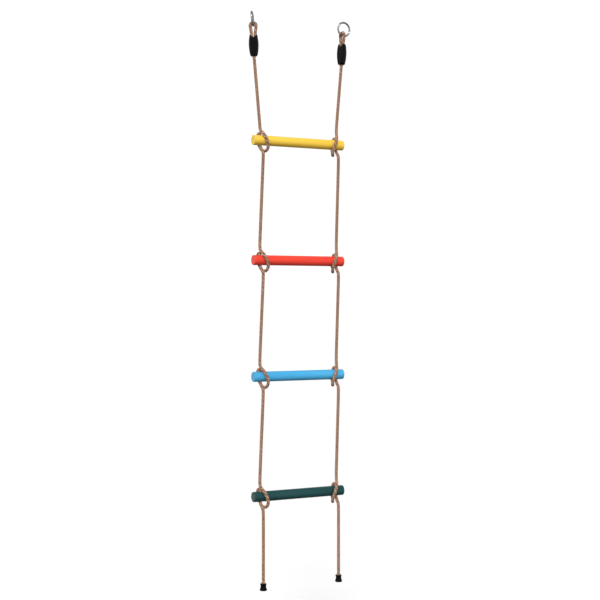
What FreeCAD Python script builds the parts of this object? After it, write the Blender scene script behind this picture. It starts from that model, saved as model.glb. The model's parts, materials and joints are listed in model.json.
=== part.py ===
"""Rope ladder: four round plastic rungs hitched into two hanging ropes.

Each rope hangs by an eye in a steel ring. A two-piece clamp barrel closes the eye,
and a rubber cap closes the tail. Millimetres. +X runs along the rungs to the right,
-Y is the front, +Z is up. The origin is midway between the two rings, on the line
through the points where the rope eyes bear on them.
"""
import math
import os

import FreeCAD
import Part

# Rungs
RUNG_NAMES = ("yellow", "red", "blue", "green")
RUNG_LENGTH = 300.0
RUNG_DIAMETER = 30.0
RUNG_WALL = 3.0
RUNG_EDGE_ROUND = 1.6
FIRST_RUNG_DROP = 336.0
RUNG_PITCHES = (354.0, 344.0, 354.0)
HOLE_DIAMETER = 12.0
HOLE_TO_END = 22.5
PLUG_FLANGE = 3.0
PLUG_DEPTH = 9.0
PLUG_WALL = 2.0
PLUG_CLEARANCE = 0.1

# Rope
ROPE_DIAMETER = 10.0
ARC_SHARE = 0.45
HINGE_FROM_HITCH = 20.0
HINGE_GAP = 0.4
TAIL_DROP = 273.5

# Hitch round a rung: (inward from the hole, back from the rung axis, above the axis)
HITCH = (
    (-1.0, -0.5, 46.0),
    (-1.0, -2.8, 28.5),
    (4.5, -14.5, 19.5),
    (9.5, -20.0, 9.0),
    (13.8, -21.6, -1.5),
    (17.8, -19.5, -12.5),
    (19.5, -15.0, -23.5),
    (16.0, -8.5, -31.5),
    (10.5, -0.5, -32.5),
    (7.0, 6.5, -26.5),
    (5.5, 13.5, -17.5),
    (3.0, 20.0, -8.0),
    (1.0, 22.0, 3.0),
    (0.5, 18.5, 13.0),
    (0.3, 12.5, 20.8),
    (0.0, 0.0, 20.0),
    (0.0, 0.0, -16.0),
    (0.8, -7.0, -25.5),
    (1.5, -18.0, -35.0),
    (1.5, -20.0, -45.0),
)

# Rings
RING_WIRE = 6.0
RING_RADIUS = 20.5
RING_TURN = {"left": 31.0, "right": 86.0}
RING_LEAN = {"left": -5.0, "right": 0.0}
RING_ROLL = {"left": 0.0, "right": 16.0}

# Rope eye, in its own plane: (sideways, above the ring wire's centre)
EYE_X = 150.0
EYE_TURN = {"left": 27.0, "right": 76.0}
EYE_TILT = 2.0
EYE_HALF_WIDTH = 8.9
EYE_TOP = 8.9
EYE_SHOULDER = 3.8
EYE_LEG = 5.1
EYE_BELLY = (7.9, -7.0)
EYE_WAIST = -25.0
CUT_END_DROP = 35.0
OUTLET_BEND_DROP = 37.0
OUTLET_RUN = 11.0
MOUTH_TAIL = 18.0

# Clamp barrel round the closed end of the eye: (half its width or depth, below its top)
BARREL_TOP = -27.0
BARREL_HEIGHT = 63.0
BARREL_WIDTH_OUTLINE = (
    (11.3, 0.0), (12.12, 2.47), (12.7, 5.0), (14.7, 31.5), (11.9, 56.5), (10.8, 59.9), (9.0, 63.0))
BARREL_DEPTH_OUTLINE = (
    (8.5, 0.0), (9.4, 2.44), (9.9, 5.0), (11.4, 31.5), (9.9, 58.0), (9.4, 60.56), (8.5, 63.0))
BARREL_DEEP = max(half for half, drop in BARREL_DEPTH_OUTLINE)
# Length of the bars and half spaces that shape the barrel, past it every way
BARREL_SPAN = 2 * BARREL_HEIGHT
CHANNEL_CLEARANCE = 0.3
CUT_END_ROOM = 0.5
PANEL_WIDTH = 14.0
PANEL_HEIGHT = 45.0
PANEL_DEPTH = 2.0
PANEL_CORNER = 3.0
RIB_COUNT = 4
RIB_PITCH = 12.0
RIB_HEIGHT = 5.0
RIB_STANDS_BACK = 0.6
NOTCH_RADIUS = 7.0
NOTCH_DROP = 1.0
PEG_DIAMETER = 2.2
PEG_LENGTH = 3.0
PEG_CLEARANCE = 0.1
PEG_ROOT = 1.0
PEG_END_ROOM = 0.4
PEG_X = 12.3
PEG_Z = 11.0

# End cap: (radius, height) up its outside
CAP_OUTLINE = ((8.6, 0.0), (10.8, 2.2), (10.8, 4.2), (8.3, 11.5), (9.3, 18.5), (8.3, 21.0))
CAP_HEEL = (10.2, 0.7)
CAP_LIP = (9.1, 20.3)
CAP_HEIGHT = 21.0
CAP_SOCKET = 15.0
CAP_CLEARANCE = 0.05

# How far a cutting shape runs past the face it opens
OVERCUT = 3.0

ROPE_RADIUS = ROPE_DIAMETER / 2
RUNG_RADIUS = RUNG_DIAMETER / 2
HOLE_X = RUNG_LENGTH / 2 - HOLE_TO_END
SIDES = {"left": -1, "right": 1}
UP = FreeCAD.Vector(0, 0, 1)


def vec(x, y, z):
    return FreeCAD.Vector(x, y, z)


def unit(v):
    return v / v.Length


def rung_heights():
    heights = [-FIRST_RUNG_DROP]
    for pitch in RUNG_PITCHES:
        heights.append(heights[-1] - pitch)
    return heights


def cord_bends(points):
    """Each corner's tangent arc: start, middle, end, centre, axis, angle and radius."""
    bends = []
    for before, corner, after in zip(points, points[1:], points[2:]):
        inward, outward = unit(before - corner), unit(after - corner)
        half_turn = (math.pi - inward.getAngle(outward)) / 2
        reach = ARC_SHARE * min((corner - before).Length, (after - corner).Length)
        radius = reach / math.tan(half_turn)
        bisector = unit(inward + outward)
        centre = corner + bisector * (radius / math.cos(half_turn))
        bends.append({
            "start": corner + inward * reach,
            "middle": centre - bisector * radius,
            "end": corner + outward * reach,
            "centre": centre,
            "axis": unit(outward.cross(inward)),
            "degrees": math.degrees(2 * half_turn),
            "radius": radius,
        })
    return bends


def cord_path(points):
    """The route as one wire: straight runs joined by tangent arcs."""
    edges, start = [], points[0]
    for bend in cord_bends(points):
        edges.append(Part.LineSegment(start, bend["start"]).toShape())
        edges.append(Part.Arc(bend["start"], bend["middle"], bend["end"]).toShape())
        start = bend["end"]
    edges.append(Part.LineSegment(start, points[-1]).toShape())
    return Part.Wire(edges)


def cord_tube(points, radius):
    """A solid tube along the route: a cylinder on each run, a piece of torus on each arc."""
    pieces, start = [], points[0]
    for bend in cord_bends(points):
        run = bend["start"] - start
        pieces.append(Part.makeCylinder(radius, run.Length, start, run))
        disc = Part.Face(Part.Wire(Part.Circle(bend["start"], run, radius).toShape()))
        pieces.append(disc.revolve(bend["centre"], bend["axis"], bend["degrees"]))
        start = bend["end"]
    run = points[-1] - start
    pieces.append(Part.makeCylinder(radius, run.Length, start, run))
    return pieces[0].fuse(pieces[1:]) if pieces[1:] else pieces[0]


def rope(name, points, ball_start=False):
    """One length of rope, with a ball end where it bends away from its neighbour."""
    tube = cord_tube(points, ROPE_RADIUS)
    length = cord_path(points).Length
    share = tube.Volume / (math.pi * ROPE_RADIUS**2 * length)
    radii = " ".join(f"{bend['radius']:.1f}" for bend in cord_bends(points))
    print(f"{name}: {length:.1f} mm, volume {share:.4f} of section x length, radii {radii}")
    if ball_start:
        ball = Part.makeSphere(ROPE_RADIUS, points[0], unit(points[0] - points[1]), 0, 90, 360)
        tube = tube.fuse(ball)
    return tube


def hitch_points(side, rung_z):
    sign = SIDES[side]
    return [vec(sign * (HOLE_X - inward), back, rung_z + up) for inward, back, up in HITCH]


def eye_frame(side):
    """Places a shape built at the origin, facing -Y, at the rope eye of one side."""
    turn = FreeCAD.Rotation(UP, -EYE_TURN[side])
    tilt = FreeCAD.Rotation(vec(0, 1, 0), SIDES[side] * EYE_TILT)
    return FreeCAD.Placement(vec(SIDES[side] * EYE_X, 0, 0), tilt.multiply(turn))


def eye_outline():
    """Rope centreline of the eye in its own plane, from the cut end to the mouth."""
    bottom = BARREL_TOP - BARREL_HEIGHT
    leg = [EYE_BELLY, (EYE_LEG, EYE_WAIST)]
    top = [(EYE_HALF_WIDTH, EYE_SHOULDER), (EYE_SHOULDER, EYE_TOP)]
    cut_end = [(-EYE_LEG, BARREL_TOP - CUT_END_DROP)]
    rising = [(-x, z) for x, z in leg[::-1] + top]
    falling = top[::-1] + leg
    outlet = [(EYE_LEG, BARREL_TOP - OUTLET_BEND_DROP), (0.0, bottom + OUTLET_RUN), (0.0, bottom)]
    return [vec(x, 0, z) for x, z in cut_end + rising + falling + outlet]


def eye_points(side, first_hitch):
    """The eye's route, and on below the barrel towards the first hitch."""
    place = eye_frame(side)
    points = [place.multVec(p) for p in eye_outline()]
    below = points[-1] + unit(first_hitch - points[-1]) * MOUTH_TAIL
    return points + [below]


def ring(side):
    sign = SIDES[side]
    turn = math.radians(RING_TURN[side])
    along = vec(math.sin(turn), math.cos(turn), 0)
    sideways = along.cross(UP)
    lean, roll = math.radians(RING_LEAN[side]), math.radians(RING_ROLL[side])
    upright = UP * math.cos(lean) + sideways * math.sin(lean)
    to_centre = upright * math.cos(roll) + along * math.sin(roll)
    centre = vec(sign * EYE_X, 0, 0) + to_centre * RING_RADIUS
    normal = along.cross(upright)
    print(f"ring_{side}: centre {centre}, normal {normal}")
    return Part.makeTorus(RING_RADIUS, RING_WIRE / 2, centre, normal)


def barrel_edge(outline):
    """One side of the barrel's outline in XZ, top to bottom: a long arc between two shoulders."""
    points = [vec(half, 0, BARREL_TOP - drop) for half, drop in outline]
    return [Part.Arc(*points[start:start + 3]).toShape() for start in (0, 2, 4)]


def barrel_body():
    """The barrel's outside, both halves in one, facing -Y: a turned form with flatter faces."""
    low, high = BARREL_TOP - BARREL_HEIGHT, BARREL_TOP
    top_rim, bottom_rim = BARREL_WIDTH_OUTLINE[0][0], BARREL_WIDTH_OUTLINE[-1][0]
    closing = Part.makePolygon([
        vec(bottom_rim, 0, low), vec(0, 0, low), vec(0, 0, high), vec(top_rim, 0, high)])
    turned = Part.Face(Part.Wire(barrel_edge(BARREL_WIDTH_OUTLINE) + closing.Edges))
    turned = turned.revolve(vec(0, 0, 0), UP, 360)
    rim = BARREL_DEPTH_OUTLINE[0][0]
    back = barrel_edge(BARREL_DEPTH_OUTLINE)
    front = [e.mirror(vec(0, 0, 0), vec(1, 0, 0)) for e in back]
    bottom = Part.LineSegment(vec(rim, 0, low), vec(-rim, 0, low)).toShape()
    top = Part.LineSegment(vec(-rim, 0, high), vec(rim, 0, high)).toShape()
    side = Part.Face(Part.Wire(back + [bottom] + front[::-1] + [top]))
    side.rotate(vec(0, 0, 0), UP, 90)
    side.translate(vec(-BARREL_SPAN / 2, 0, 0))
    return turned.common(side.extrude(vec(BARREL_SPAN, 0, 0)))


def barrel_shells(side):
    """Front and back half shells of the clamp barrel of one side."""
    centre_z = BARREL_TOP - BARREL_HEIGHT / 2
    body = barrel_body()
    panel = Part.makeBox(
        PANEL_WIDTH, PANEL_DEPTH + OVERCUT, PANEL_HEIGHT,
        vec(-PANEL_WIDTH / 2, -BARREL_DEEP - OVERCUT, centre_z - PANEL_HEIGHT / 2))
    panel = panel.makeFillet(PANEL_CORNER, [e for e in panel.Edges if e.BoundBox.YLength > OVERCUT])
    for index in range(RIB_COUNT):
        rib_z = centre_z + (index - (RIB_COUNT - 1) / 2) * RIB_PITCH
        rib = Part.makeBox(
            PANEL_WIDTH, PANEL_DEPTH + OVERCUT, RIB_HEIGHT,
            vec(-PANEL_WIDTH / 2, RIB_STANDS_BACK - BARREL_DEEP - OVERCUT, rib_z - RIB_HEIGHT / 2))
        panel = panel.cut(rib)
    panels = panel.fuse(panel.mirror(vec(0, 0, 0), vec(0, 1, 0)))
    notch_at = vec(0, -BARREL_SPAN / 2, BARREL_TOP - NOTCH_DROP)
    notch = Part.makeCylinder(NOTCH_RADIUS, BARREL_SPAN, notch_at, vec(0, 1, 0))
    outline = eye_outline()
    outline[0] = outline[0] - UP * CUT_END_ROOM
    outline[-1] = outline[-1] - UP * OVERCUT
    channel = cord_tube(outline, ROPE_RADIUS + CHANNEL_CLEARANCE)
    tools = [panels, notch, channel]
    corner = vec(-BARREL_SPAN / 2, 0, centre_z - BARREL_SPAN / 2)
    half_space = Part.makeBox(BARREL_SPAN, BARREL_SPAN, BARREL_SPAN, corner)
    back = body.common(half_space).cut(tools)
    front = body.cut(half_space).cut(tools)
    pegs, sockets = [], []
    for x in (-PEG_X, PEG_X):
        for z in (centre_z - PEG_Z, centre_z + PEG_Z):
            foot = vec(x, PEG_ROOT, z)
            pegs.append(Part.makeCylinder(PEG_DIAMETER / 2, PEG_LENGTH + PEG_ROOT, foot, vec(0, -1, 0)))
            sockets.append(Part.makeCylinder(
                PEG_DIAMETER / 2 + PEG_CLEARANCE, PEG_LENGTH + PEG_ROOT + PEG_END_ROOM,
                foot, vec(0, -1, 0)))
    back, front = back.fuse(pegs), front.cut(sockets)
    place = eye_frame(side)
    for shell in (front, back):
        shell.Placement = place.multiply(shell.Placement)
    return front, back


def rung_tube(rung_z):
    half = RUNG_LENGTH / 2 - PLUG_FLANGE
    outside = Part.makeCylinder(RUNG_RADIUS, 2 * half, vec(-half, 0, rung_z), vec(1, 0, 0))
    inside = Part.makeCylinder(
        RUNG_RADIUS - RUNG_WALL, 2 * half, vec(-half, 0, rung_z), vec(1, 0, 0))
    tube = outside.cut(inside)
    for sign in SIDES.values():
        foot = vec(sign * HOLE_X, 0, rung_z - RUNG_DIAMETER)
        tube = tube.cut(Part.makeCylinder(HOLE_DIAMETER / 2, 2 * RUNG_DIAMETER, foot, UP))
    return tube


def end_plug(side, rung_z):
    """A flanged cup pressed into the rung's end, its outer edge rounded over."""
    sign = SIDES[side]
    outward = vec(sign, 0, 0)
    seat = vec(sign * (RUNG_LENGTH / 2 - PLUG_FLANGE), 0, rung_z)
    flange = Part.makeCylinder(RUNG_RADIUS, PLUG_FLANGE, seat, outward)
    tip_x = sign * RUNG_LENGTH / 2
    rim = [e for e in flange.Edges if abs(e.BoundBox.XMax - tip_x) + abs(e.BoundBox.XMin - tip_x) < 0.01]
    flange = flange.makeFillet(RUNG_EDGE_ROUND, rim)
    outer = RUNG_RADIUS - RUNG_WALL - PLUG_CLEARANCE
    spigot = Part.makeCylinder(outer, PLUG_DEPTH, seat, outward * -1)
    hollow = Part.makeCylinder(outer - PLUG_WALL, PLUG_DEPTH, seat, outward * -1)
    return flange.fuse(spigot.cut(hollow)).removeSplitter()


def end_cap(bottom):
    """A rubber cap with a flared foot and a waist, and a socket for the rope's end."""
    points = [vec(r, 0, z) for r, z in CAP_OUTLINE]
    foot = Part.LineSegment(vec(0, 0, 0), points[0]).toShape()
    heel = Part.Arc(points[0], vec(CAP_HEEL[0], 0, CAP_HEEL[1]), points[1]).toShape()
    rim = Part.LineSegment(points[1], points[2]).toShape()
    waist = Part.Arc(points[2], points[3], points[4]).toShape()
    lip = Part.Arc(points[4], vec(CAP_LIP[0], 0, CAP_LIP[1]), points[5]).toShape()
    top = Part.LineSegment(points[5], vec(0, 0, CAP_HEIGHT)).toShape()
    axis = Part.LineSegment(vec(0, 0, CAP_HEIGHT), vec(0, 0, 0)).toShape()
    outline = Part.Face(Part.Wire([foot, heel, rim, waist, lip, top, axis]))
    cap = outline.revolve(vec(0, 0, 0), UP, 360)
    floor = vec(0, 0, CAP_HEIGHT - CAP_SOCKET)
    cap = cap.cut(Part.makeCylinder(ROPE_RADIUS + CAP_CLEARANCE, CAP_SOCKET + OVERCUT, floor, UP))
    cap.translate(bottom)
    return cap


def side_nodes(side):
    """Everything that belongs to one of the two ropes."""
    nodes = {f"ring_{side}": ring(side)}
    front, back = barrel_shells(side)
    nodes[f"barrel_{side}_front_shell"] = front
    nodes[f"barrel_{side}_back_shell"] = back
    routes = [hitch_points(side, z) for z in rung_heights()]
    eye = eye_points(side, routes[0][0])
    nodes[f"rope_{side}_eye"] = rope(f"rope_{side}_eye", eye)
    above, ball = eye[-1], False
    gap = ROPE_RADIUS + HINGE_GAP
    for index, (name, route) in enumerate(zip(RUNG_NAMES, routes)):
        down = unit(route[0] - above)
        hinge_above = route[0] - down * HINGE_FROM_HITCH
        run_name = f"rope_{side}_bay_{index}" if index else f"rope_{side}_upper"
        run_end = hinge_above - down * gap
        nodes[run_name] = rope(run_name, [above, run_end], ball)
        tail_end = vec(route[-1].x, route[-1].y, route[-1].z - TAIL_DROP)
        below = routes[index + 1][0] if index + 1 < len(routes) else tail_end
        on = unit(below - route[-1])
        hinge_below = route[-1] + on * HINGE_FROM_HITCH
        hitch = [hinge_above] + route + [hinge_below - on * gap]
        nodes[f"rope_{side}_hitch_{name}"] = rope(f"rope_{side}_hitch_{name}", hitch, True)
        print(f"{side} {name}: hinges {hinge_above} and {hinge_below}")
        above, ball = hinge_below, True
    cap_bottom = vec(above.x, above.y, rung_heights()[-1] - TAIL_DROP)
    tail_end = cap_bottom + UP * (CAP_HEIGHT - CAP_SOCKET)
    nodes[f"rope_{side}_tail"] = rope(f"rope_{side}_tail", [above, tail_end], True)
    nodes[f"end_cap_{side}"] = end_cap(cap_bottom)
    return nodes


def rung_nodes():
    nodes = {}
    for name, rung_z in zip(RUNG_NAMES, rung_heights()):
        nodes[f"rung_{name}"] = rung_tube(rung_z)
        for side in SIDES:
            nodes[f"rung_{name}_plug_{side}"] = end_plug(side, rung_z)
    return nodes


def main():
    os.makedirs("parts", exist_ok=True)
    nodes = rung_nodes()
    for side in SIDES:
        nodes.update(side_nodes(side))
    for name, shape in nodes.items():
        solids = shape.Solids
        if len(solids) != 1 or not shape.isValid():
            print(f"{name}: {len(solids)} solids, valid {shape.isValid()}")
        solids[0].exportStep(f"parts/{name}.step")
    print(f"{len(nodes)} nodes")


main()
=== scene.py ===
"""Looks of the rope ladder: braided ropes, plastic rungs, clamp barrels, rings and caps."""

import json
import math

import bpy
import numpy as np
from mathutils import Matrix, Vector


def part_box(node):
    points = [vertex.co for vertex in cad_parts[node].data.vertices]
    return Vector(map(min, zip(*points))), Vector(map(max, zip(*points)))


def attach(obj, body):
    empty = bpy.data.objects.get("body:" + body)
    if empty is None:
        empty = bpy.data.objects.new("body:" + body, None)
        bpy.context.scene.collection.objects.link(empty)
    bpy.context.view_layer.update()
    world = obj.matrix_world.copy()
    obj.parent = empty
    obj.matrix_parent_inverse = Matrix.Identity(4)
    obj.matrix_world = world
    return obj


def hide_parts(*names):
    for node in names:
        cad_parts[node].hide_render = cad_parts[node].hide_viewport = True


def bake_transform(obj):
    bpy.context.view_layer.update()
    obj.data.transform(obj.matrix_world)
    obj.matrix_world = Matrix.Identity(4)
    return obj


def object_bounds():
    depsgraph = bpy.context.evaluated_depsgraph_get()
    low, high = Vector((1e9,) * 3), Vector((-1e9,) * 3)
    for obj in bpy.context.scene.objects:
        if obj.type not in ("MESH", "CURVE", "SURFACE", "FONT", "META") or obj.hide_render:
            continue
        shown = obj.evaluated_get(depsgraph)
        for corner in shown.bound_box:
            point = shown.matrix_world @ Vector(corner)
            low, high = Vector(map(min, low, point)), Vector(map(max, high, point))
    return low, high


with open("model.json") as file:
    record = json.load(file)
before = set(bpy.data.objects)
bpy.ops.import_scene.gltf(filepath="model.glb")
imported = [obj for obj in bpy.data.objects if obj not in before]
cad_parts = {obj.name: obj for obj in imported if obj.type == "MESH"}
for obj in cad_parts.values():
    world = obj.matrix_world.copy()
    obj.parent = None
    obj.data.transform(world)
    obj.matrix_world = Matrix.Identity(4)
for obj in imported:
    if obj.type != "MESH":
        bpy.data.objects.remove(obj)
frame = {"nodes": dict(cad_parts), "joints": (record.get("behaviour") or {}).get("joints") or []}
cad_low, cad_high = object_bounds()

SIDES = {"left": -1, "right": 1}
RUNG_NAMES = ("yellow", "red", "blue", "green")

# ---------------------------------------------------------------- sizes of the routes, in metres
HOLE_X = 0.1275
EYE_X = 0.150
EYE_TURN = {"left": math.radians(27.0), "right": math.radians(76.0)}
EYE_TILT = math.radians(2.0)
MOUTH_TAIL = 0.018
LONG_RUN_POINT = 0.060
TAIL_START = 0.120
SOCKET_FLOOR = 0.006

# Rope centreline round a rung: (inward from the hole, back, above the rung's axis)
HITCH = (
    (-0.0010, -0.0005, 0.0460),
    (-0.0010, -0.0028, 0.0285),
    (0.0045, -0.0145, 0.0195),
    (0.0095, -0.0200, 0.0090),
    (0.0138, -0.0216, -0.0015),
    (0.0178, -0.0195, -0.0125),
    (0.0195, -0.0150, -0.0235),
    (0.0160, -0.0085, -0.0315),
    (0.0105, -0.0005, -0.0325),
    (0.0070, 0.0065, -0.0265),
    (0.0055, 0.0135, -0.0175),
    (0.0030, 0.0200, -0.0080),
    (0.0010, 0.0220, 0.0030),
    (0.0005, 0.0185, 0.0130),
    (0.0003, 0.0125, 0.0208),
    (0.0000, 0.0000, 0.0200),
    (0.0000, 0.0000, 0.0075),
    (0.0000, 0.0000, -0.0042),
    (0.0000, 0.0000, -0.0160),
    (0.0008, -0.0070, -0.0255),
    (0.0015, -0.0180, -0.0350),
    (0.0015, -0.0200, -0.0450),
)

# Rope eye in its own plane, from the cut end in the barrel round the ring to the mouth
EYE = (
    (-0.0051, -0.062),
    (-0.0051, -0.025),
    (-0.0079, -0.007),
    (-0.0089, 0.0038),
    (-0.0038, 0.0089),
    (0.0038, 0.0089),
    (0.0089, 0.0038),
    (0.0079, -0.007),
    (0.0051, -0.025),
    (0.0051, -0.064),
    (0.0, -0.079),
    (0.0, -0.090),
)

# ---------------------------------------------------------------- sizes of the braid, in metres
BRAID_LAY = 0.027
BRAID_RADIUS = 0.0034
BRAID_WAVE = 0.00060
STRANDS_EACH_WAY = 4
STRAND_WIDTH = 0.0039
STRAND_THICKNESS = 0.0023
CORE_RADIUS = 0.0024
STRAND_SIDES = 8
STEPS_PER_LAY = 26
LINE_RESOLUTION = 24
SAME_POINT = 1e-7
SECTION = np.arange(STRAND_SIDES) * 2 * math.pi / STRAND_SIDES

# The mesh's "rise": 1 on top of a crossing, -1 beneath it and in the core, less on odd strands; the rope
# material paints shade from it, deepest on the core and beneath crossings, and odd strands get a darker
# tone of their own
CORE_RISE = -1.0
DARKER_STRAND = 0.5
UV_STRAND_GAP = 3.0
UV_PER_METRE = 100.0

# ---------------------------------------------------------------- camera
CAMERA_AZIMUTH = math.radians(27.0)
CAMERA_DISTANCE = 3.65
CAMERA_LENS = 73.0
AIM = Vector((0.0040, -0.0020, -0.8076))

# ---------------------------------------------------------------- colour ramps: (share, colour)
YARN_TONE = (
    (0.25, (0.370, 0.195, 0.112)),
    (0.50, (0.740, 0.445, 0.280)),
    (0.75, (0.940, 0.660, 0.450)),
)
YARN_PATCHES = ((0.36, (0.54, 0.48, 0.47)), (0.60, (1.0, 1.0, 1.0)))
# Painted shade on the braid's core and beneath crossings, set by the rise; odd strands also take a darker
# tone of their own from it
YARN_PAINTED_SHADE_AND_STRAND_TONE = ((0.15, (0.03, 0.020, 0.020)), (0.55, (0.42, 0.36, 0.35)), (0.92, (1.0, 1.0, 1.0)))
RUNG_FLOW = {
    "yellow": ((0.30, (0.79, 0.49, 0.050)), (0.70, (0.85, 0.56, 0.070))),
    "red": ((0.30, (0.72, 0.045, 0.026)), (0.70, (0.80, 0.060, 0.036))),
    "blue": ((0.30, (0.050, 0.330, 0.60)), (0.70, (0.070, 0.380, 0.66))),
    "green": ((0.30, (0.008, 0.045, 0.046)), (0.70, (0.014, 0.062, 0.064))),
}
CLAMP_CLOUD = ((0.35, (0.0010, 0.0010, 0.0012)), (0.70, (0.003, 0.003, 0.004)))
RUBBER_CLOUD = ((0.35, (0.0012, 0.0012, 0.0012)), (0.70, (0.004, 0.004, 0.004)))
ZINC_MOTTLE = ((0.05, (0.13, 0.132, 0.135)), (0.60, (0.36, 0.363, 0.37)))
FLOOR_CLOUD = ((0.3, (0.93, 0.93, 0.93)), (0.7, (0.96, 0.96, 0.96)))

# ---------------------------------------------------------------- stage
FLOOR_DROP = 0.35
FLOOR_REACH = 60.0
SUN_TOWARDS = (-0.50, -0.85, 0.85)
SUN_STRENGTH = 2.6
SUN_SOFTNESS = math.radians(14.0)

# Brightness of the room by height, from -1 straight down to 1 straight up
ROOM_LIGHT = ((-0.40, 0.20), (-0.28, 1.05), (0.30, 1.05), (0.50, 0.45))


def add_camera():
    data = bpy.data.cameras.new("camera")
    data.lens = CAMERA_LENS
    camera = bpy.data.objects.new("camera", data)
    back = Vector((-math.sin(CAMERA_AZIMUTH), -math.cos(CAMERA_AZIMUTH), 0.0))
    camera.location = AIM + back * CAMERA_DISTANCE
    camera.rotation_euler = (-back).to_track_quat("-Z", "Y").to_euler()
    bpy.context.collection.objects.link(camera)
    bpy.context.scene.camera = camera


# ---------------------------------------------------------------- rope routes
def rung_axis(name):
    low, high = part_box(f"rung_{name}")
    return (low[2] + high[2]) / 2


def joint_point(name):
    joint = next(j for j in frame["joints"] if j["name"] == name)
    return Vector(joint["pos_m"])


def hitch_points(side, name):
    sign, axis_z = SIDES[side], rung_axis(name)
    return [Vector((sign * (HOLE_X - inward), back, axis_z + up)) for inward, back, up in HITCH]


def eye_points(side):
    turn = Matrix.Rotation(-EYE_TURN[side], 3, "Z")
    tilt = Matrix.Rotation(SIDES[side] * EYE_TILT, 3, "Y")
    centre = Vector((SIDES[side] * EYE_X, 0.0, 0.0))
    return [centre + tilt @ turn @ Vector((sideways, 0.0, up)) for sideways, up in EYE]


def rope_route(side):
    """Control points of one rope, from its cut end to the floor of its end cap."""
    points = eye_points(side)
    for name in RUNG_NAMES:
        hitch = hitch_points(side, name)
        on = (hitch[0] - points[-1]).normalized()
        leaving = MOUTH_TAIL if name == RUNG_NAMES[0] else LONG_RUN_POINT
        points += [points[-1] + on * leaving, hitch[0] - on * LONG_RUN_POINT]
        points += hitch
    cap_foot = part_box(f"end_cap_{side}")[0][2]
    end = Vector((points[-1].x, points[-1].y, cap_foot + SOCKET_FLOOR))
    points += [points[-1] - Vector((0.0, 0.0, LONG_RUN_POINT)), end]
    return points


def smooth_line(name, points):
    """The points read along a NURBS spline that has the route's points as its controls."""
    curve = bpy.data.curves.new(name, "CURVE")
    curve.dimensions = "3D"
    spline = curve.splines.new("NURBS")
    spline.points.add(len(points) - 1)
    for control, point in zip(spline.points, points):
        control.co = (*point, 1.0)
    spline.order_u = 3
    spline.use_endpoint_u = True
    spline.resolution_u = LINE_RESOLUTION
    holder = bpy.data.objects.new(name, curve)
    bpy.context.collection.objects.link(holder)
    mesh = bpy.data.meshes.new_from_object(holder)
    line = np.array([v.co for v in mesh.vertices], float)
    bpy.data.objects.remove(holder)
    bpy.data.meshes.remove(mesh)
    return line


class RopeLine:
    """A rope's centreline with evenly spaced stations and a frame that doesn't twist."""

    def __init__(self, line):
        steps = np.linalg.norm(np.diff(line, axis=0), axis=1)
        line = line[np.concatenate(([True], steps > SAME_POINT))]
        reached = np.concatenate(([0.0], np.cumsum(np.linalg.norm(np.diff(line, axis=0), axis=1))))
        self.step = BRAID_LAY / STEPS_PER_LAY
        count = int(round(reached[-1] / self.step)) + 1
        self.along = np.linspace(0.0, reached[-1], count)
        self.points = np.stack([np.interp(self.along, reached, line[:, i]) for i in range(3)], axis=1)
        tangents = np.gradient(self.points, axis=0)
        self.tangents = tangents / np.linalg.norm(tangents, axis=1)[:, None]
        self.normals = np.zeros_like(self.points)
        normal = np.cross(self.tangents[0], (0.0, 1.0, 0.0))
        for i, tangent in enumerate(self.tangents):
            normal = normal - tangent * (normal @ tangent)
            normal = normal / np.linalg.norm(normal)
            self.normals[i] = normal
        self.binormals = np.cross(self.tangents, self.normals)

    def station(self, point, after):
        """Index of the station nearest to a point, looking from another station on."""
        gaps = np.linalg.norm(self.points[after:] - np.array(point), axis=1)
        return after + int(np.argmin(gaps))


# ---------------------------------------------------------------- braid
def core_vertices(rope, span):
    """Vertices of the core that fills the braid; the rope material paints it in deep shade, standing in for
    the shadow in the gaps between strands.
    """
    ring = (rope.normals[span, None] * np.cos(SECTION)[None, :, None]
            + rope.binormals[span, None] * np.sin(SECTION)[None, :, None])
    return (rope.points[span, None] + ring * CORE_RADIUS).reshape(-1, 3)


def strand_vertices(rope, span, turn_way, index):
    """Vertices of one strand: it winds round the rope, over one strand and under the next."""
    turn_rate = turn_way * 2 * math.pi
    angle = turn_rate * rope.along[span] / BRAID_LAY + index * 2 * math.pi / STRANDS_EACH_WAY
    radius = BRAID_RADIUS + turn_way * BRAID_WAVE * np.cos(STRANDS_EACH_WAY * angle)
    out = rope.normals[span] * np.cos(angle)[:, None] + rope.binormals[span] * np.sin(angle)[:, None]
    centre = rope.points[span] + out * radius[:, None]
    lean = math.atan(turn_rate * BRAID_RADIUS / BRAID_LAY)
    round_way = np.cross(rope.tangents[span], out)
    across = round_way * math.cos(lean) - rope.tangents[span] * math.sin(lean)
    wide = np.cos(SECTION) * STRAND_WIDTH / 2
    thick = np.sin(SECTION) * STRAND_THICKNESS / 2
    return (centre[:, None] + across[:, None] * wide[None, :, None]
            + out[:, None] * thick[None, :, None]).reshape(-1, 3)


def braid_rises(rope, span):
    """How high each ring of the core and of every strand lies in the braid."""
    # Low values become painted shade in the rope material; odd strands are set lower for a darker tone of
    # their own.
    over = np.cos(STRANDS_EACH_WAY * 2 * math.pi * rope.along[span] / BRAID_LAY)
    rises = [np.full(len(over), CORE_RISE)]
    for way in (over, -over):
        rises += [way - DARKER_STRAND * (index % 2) for index in range(STRANDS_EACH_WAY)]
    return np.concatenate(rises)


def tube_faces(rings, first):
    """Quads between consecutive rings of vertices, numbered from first."""
    i, j = np.meshgrid(np.arange(rings - 1), np.arange(STRAND_SIDES), indexing="ij")
    k = (j + 1) % STRAND_SIDES
    near, far = i * STRAND_SIDES, (i + 1) * STRAND_SIDES
    return np.stack([near + j, near + k, far + k, far + j], axis=-1).reshape(-1, 4) + first


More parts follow.
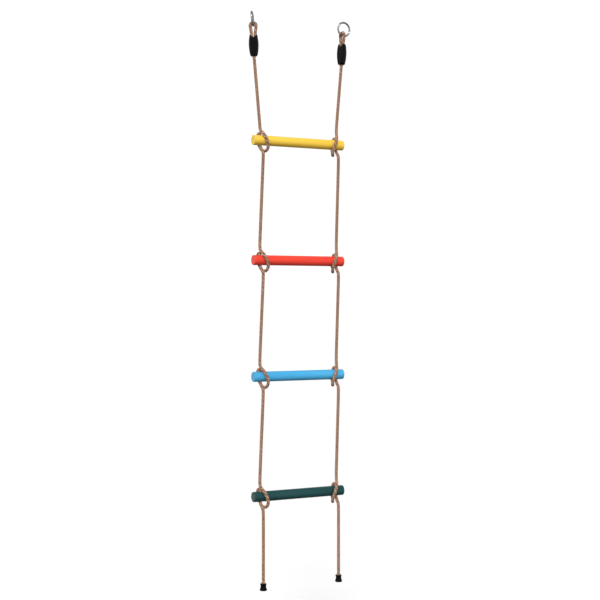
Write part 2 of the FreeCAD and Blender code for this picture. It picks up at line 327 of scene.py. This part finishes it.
def braid_uvs(mesh, rings, start, step):
    """A UV for every corner: round its strand, with a gap between strands, and along the rope."""
    vertex = np.zeros(len(mesh.loops), int)
    mesh.loops.foreach_get("vertex_index", vertex)
    tube, in_tube = np.divmod(vertex, rings * STRAND_SIDES)
    ring, side = np.divmod(in_tube, STRAND_SIDES)
    # On a ring's last quad the second and third corners are back at side 0, a full turn on.
    wraps = (side == 0) & np.isin(np.arange(len(vertex)) % 4, (1, 2))
    around = side + np.where(wraps, STRAND_SIDES, 0)
    u = around / STRAND_SIDES + tube * UV_STRAND_GAP
    v = start * UV_PER_METRE + ring * step * UV_PER_METRE
    return np.stack([u, v], axis=1).astype(np.float32)


def braid_piece(name, rope, low, high, material):
    """Mesh of the core and its strands between two stations."""
    span = slice(low, high + 1)
    rings = high - low + 1
    tubes = [core_vertices(rope, span)]
    for turn_way in (1, -1):
        tubes += [strand_vertices(rope, span, turn_way, index) for index in range(STRANDS_EACH_WAY)]
    faces = [tube_faces(rings, i * rings * STRAND_SIDES) for i in range(len(tubes))]
    mesh = bpy.data.meshes.new(name)
    mesh.from_pydata(np.concatenate(tubes).tolist(), [], np.concatenate(faces).tolist())
    mesh.polygons.foreach_set("use_smooth", [True] * len(mesh.polygons))
    rise = mesh.attributes.new("rise", "FLOAT", "POINT")
    rise.data.foreach_set("value", np.repeat(braid_rises(rope, span), STRAND_SIDES).astype(np.float32))
    layer = mesh.uv_layers.new(name="strand")
    layer.data.foreach_set("uv", braid_uvs(mesh, rings, rope.along[low], rope.step).ravel())
    mesh.materials.append(material)
    mesh.update()
    piece = bpy.data.objects.new(name, mesh)
    bpy.context.collection.objects.link(piece)
    return piece


# ---------------------------------------------------------------- materials
class Nodes:
    """A node tree, with short calls that add nodes and link them."""

    def __init__(self, tree):
        self.tree = tree

    def link(self, source, socket):
        self.tree.links.new(source, socket)

    def add(self, kind, links=(), **values):
        """Add a node. Values are its settings, or its sockets with _ for each space."""
        node = self.tree.nodes.new(kind)
        for key, value in values.items():
            if hasattr(node, key):
                setattr(node, key, value)
            else:
                node.inputs[key.replace("_", " ")].default_value = value
        for socket, source in links:
            self.link(source, node.inputs[socket])
        return node

    def noise(self, vector, scale, detail):
        node = self.add("ShaderNodeTexNoise", [("Vector", vector)], Scale=scale, Detail=detail)
        return node.outputs["Fac"]

    def stretched(self, vector, scale):
        return self.add("ShaderNodeMapping", [("Vector", vector)], Scale=scale).outputs["Vector"]

    def ramp(self, source, stops):
        node = self.add("ShaderNodeValToRGB", [("Fac", source)])
        elements = node.color_ramp.elements
        while len(elements) < len(stops):
            elements.new(position=0.5)
        for element, (position, colour) in zip(elements, stops):
            element.position = position
            element.color = (*colour, 1.0)
        return node.outputs["Color"]

    def multiply(self, first, second):
        """The two colours multiplied, through the colour sockets of a Mix node."""
        node = self.add("ShaderNodeMix", data_type="RGBA", blend_type="MULTIPLY", Factor=1.0)
        self.link(first, node.inputs[6])
        self.link(second, node.inputs[7])
        return node.outputs[2]


class Finish(Nodes):
    """A material with a Principled shader, whose sockets its nodes feed."""

    def __init__(self, name, roughness, metallic=0.0, specular=0.5):
        self.material = bpy.data.materials.new(name)
        self.material.use_nodes = True
        super().__init__(self.material.node_tree)
        self.sockets = self.tree.nodes["Principled BSDF"].inputs
        self.sockets["Roughness"].default_value = roughness
        self.sockets["Metallic"].default_value = metallic
        self.sockets["Specular IOR Level"].default_value = specular

    def place(self):
        return self.add("ShaderNodeTexCoord").outputs["Object"]

    def colour(self, source):
        self.link(source, self.sockets["Base Color"])

    def roughness(self, source, smoothest, roughest):
        node = self.add("ShaderNodeMapRange", [("Value", source)], To_Min=smoothest, To_Max=roughest)
        self.link(node.outputs["Result"], self.sockets["Roughness"])

    def bump(self, source, strength, distance):
        node = self.add("ShaderNodeBump", [("Height", source)], Strength=strength, Distance=distance)
        self.link(node.outputs["Normal"], self.sockets["Normal"])


def rope_material():
    """Hemp-coloured yarn: fine fibres along each strand, with painted shade where it passes under and on
    the core.
    """
    finish = Finish("rope_yarn", roughness=0.82)
    strand = finish.add("ShaderNodeUVMap", uv_map="strand").outputs["UV"]
    fibres = finish.noise(finish.stretched(strand, (26.0, 1.6, 1.0)), scale=1.0, detail=4.0)
    patches = finish.noise(strand, scale=1.5, detail=3.0)
    rise = finish.add("ShaderNodeAttribute", attribute_name="rise").outputs["Fac"]
    share = finish.add("ShaderNodeMapRange", [("Value", rise)], From_Min=CORE_RISE).outputs["Result"]
    tone = finish.multiply(finish.ramp(fibres, YARN_TONE), finish.ramp(patches, YARN_PATCHES))
    # Painted shade: the ramp on the rise darkens the core and the strands beneath each crossing.
    finish.colour(finish.multiply(tone, finish.ramp(share, YARN_PAINTED_SHADE_AND_STRAND_TONE)))
    finish.bump(fibres, strength=0.6, distance=0.0006)
    return finish.material


def rung_material(name):
    """Moulded rung plastic: faint flow lines along the rung and fine scuffs."""
    finish = Finish(f"rung_{name}_plastic", roughness=0.36, specular=0.20)
    place = finish.place()
    flow = finish.noise(finish.stretched(place, (6.0, 60.0, 60.0)), scale=1.0, detail=5.0)
    scuffs = finish.noise(place, scale=180.0, detail=6.0)
    finish.colour(finish.ramp(flow, RUNG_FLOW[name]))
    finish.roughness(scuffs, smoothest=0.28, roughest=0.48)
    finish.bump(scuffs, strength=0.12, distance=0.0002)
    return finish.material


def grained_material(name, cloud_ramp, roughness, specular, grain_scale, grain_depth):
    """Black moulded plastic or rubber with a fine grain."""
    finish = Finish(name, roughness, specular=specular)
    place = finish.place()
    finish.colour(finish.ramp(finish.noise(place, scale=45.0, detail=4.0), cloud_ramp))
    finish.bump(finish.noise(place, grain_scale, detail=3.0), strength=0.35, distance=grain_depth)
    return finish.material


def steel_material():
    """Zinc-plated wire: mottled grey with fine scratches."""
    finish = Finish("ring_steel", roughness=0.34, metallic=1.0)
    place = finish.place()
    mottle = finish.add("ShaderNodeTexVoronoi", [("Vector", place)], Scale=260.0).outputs["Distance"]
    scratches = finish.noise(place, scale=900.0, detail=4.0)
    finish.colour(finish.ramp(mottle, ZINC_MOTTLE))
    finish.roughness(scratches, smoothest=0.18, roughest=0.40)
    finish.bump(scratches, strength=0.2, distance=0.0002)
    return finish.material


# ---------------------------------------------------------------- pieces
def rope_sections(side):
    """One rope's lengths from the top: name, top point, hinge that it crosses, bodies."""
    hitches = [hitch_points(side, name) for name in RUNG_NAMES]
    mouth = eye_points(side)[-1]
    upper_top = mouth + (hitches[0][0] - mouth).normalized() * MOUTH_TAIL
    tail_top = hitches[-1][-1] - Vector((0.0, 0.0, TAIL_START))
    tail = f"tail_{side}"
    sections = [
        ("eye", None, None, ("hangers",)),
        ("upper", upper_top, "fold_above_yellow", ("hangers", "rung_yellow")),
    ]
    for index, (name, following) in enumerate(zip(RUNG_NAMES, RUNG_NAMES[1:])):
        bay = f"bay_{index + 1}"
        bay_top = (hitches[index][-1] + hitches[index + 1][0]) / 2
        sections += [
            (f"hitch_{name}", hitches[index][0], f"fold_below_{name}", (f"rung_{name}", bay)),
            (bay, bay_top, f"fold_above_{following}", (bay, f"rung_{following}")),
        ]
    sections += [
        ("hitch_green", hitches[-1][0], f"{tail}_swing", ("rung_green", tail)),
        ("tail", tail_top, None, (tail,)),
    ]
    return sections


def bend_over_hinge(piece, rope, hinge, body_above, body_below):
    """The piece's transform baked into its mesh; it follows neither body and does not bend at the hinge."""
    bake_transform(piece)


def add_rope(side, material):
    """One rope, in lengths that each cross at most one hinge."""
    rope = RopeLine(smooth_line(f"rope_{side}_line", rope_route(side)))
    sections = rope_sections(side)
    cuts = [0]
    for _, top, _, _ in sections[1:]:
        cuts.append(rope.station(top, cuts[-1]))
    cuts.append(len(rope.along) - 1)
    for (name, _, hinge, bodies), low, high in zip(sections, cuts, cuts[1:]):
        node = f"rope_{side}_{name}"
        piece = braid_piece(f"{node}_braid", rope, low, high, material)
        if hinge:
            bend_over_hinge(piece, rope, joint_point(hinge), *bodies)
        else:
            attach(piece, bodies[0])
        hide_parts(node)


def paint(node, material):
    mesh = frame["nodes"][node].data
    mesh.materials.clear()
    mesh.materials.append(material)


def paint_hard_parts():
    for name in RUNG_NAMES:
        material = rung_material(name)
        paint(f"rung_{name}", material)
        for side in SIDES:
            paint(f"rung_{name}_plug_{side}", material)
    clamp = grained_material(
        "clamp_plastic", CLAMP_CLOUD, roughness=0.20, specular=0.10, grain_scale=1800.0, grain_depth=0.0001)
    rubber = grained_material(
        "cap_rubber", RUBBER_CLOUD, roughness=0.50, specular=0.05, grain_scale=900.0, grain_depth=0.0003)
    steel = steel_material()
    for side in SIDES:
        for half in ("front", "back"):
            paint(f"barrel_{side}_{half}_shell", clamp)
        paint(f"end_cap_{side}", rubber)
        paint(f"ring_{side}", steel)


# ---------------------------------------------------------------- stage
def add_floor():
    """A white floor well below the ladder, which neither lights it nor shows in its gloss."""
    finish = Finish("floor_paint", roughness=0.9, specular=0.0)
    finish.colour(finish.ramp(finish.noise(finish.place(), scale=0.6, detail=2.0), FLOOR_CLOUD))
    mesh = bpy.data.meshes.new("floor")
    level = cad_low[2] - FLOOR_DROP
    corners = [(x * FLOOR_REACH, y * FLOOR_REACH, level) for x, y in ((-1, -1), (1, -1), (1, 1), (-1, 1))]
    mesh.from_pydata(corners, [], [(0, 1, 2, 3)])
    mesh.materials.append(finish.material)
    floor = bpy.data.objects.new("floor", mesh)
    floor.visible_diffuse = False
    floor.visible_glossy = False
    bpy.context.collection.objects.link(floor)


def add_room_light():
    """The light of a room with white walls, a dark ground and a dimmer ceiling."""
    world = bpy.data.worlds.new("studio")
    world.use_nodes = True
    nodes = Nodes(world.node_tree)
    direction = nodes.add("ShaderNodeTexCoord").outputs["Generated"]
    height = nodes.add("ShaderNodeSeparateXYZ", [("Vector", direction)]).outputs["Z"]
    share = nodes.add("ShaderNodeMapRange", [("Value", height)], From_Min=-1.0).outputs["Result"]
    stops = [((1.0 + up) / 2, (light, light, light)) for up, light in ROOM_LIGHT]
    nodes.link(nodes.ramp(share, stops), nodes.tree.nodes["Background"].inputs["Color"])
    bpy.context.scene.world = world


def add_sun():
    """A soft light from the front left, above."""
    data = bpy.data.lights.new("overhead", "SUN")
    data.energy = SUN_STRENGTH
    data.angle = SUN_SOFTNESS
    light = bpy.data.objects.new("overhead", data)
    light.rotation_euler = Vector(SUN_TOWARDS).to_track_quat("Z", "Y").to_euler()
    bpy.context.collection.objects.link(light)


add_camera()
yarn = rope_material()
for side in SIDES:
    add_rope(side, yarn)
paint_hard_parts()
add_floor()
add_room_light()
add_sun()
bpy.context.scene.view_settings.view_transform = "Standard"
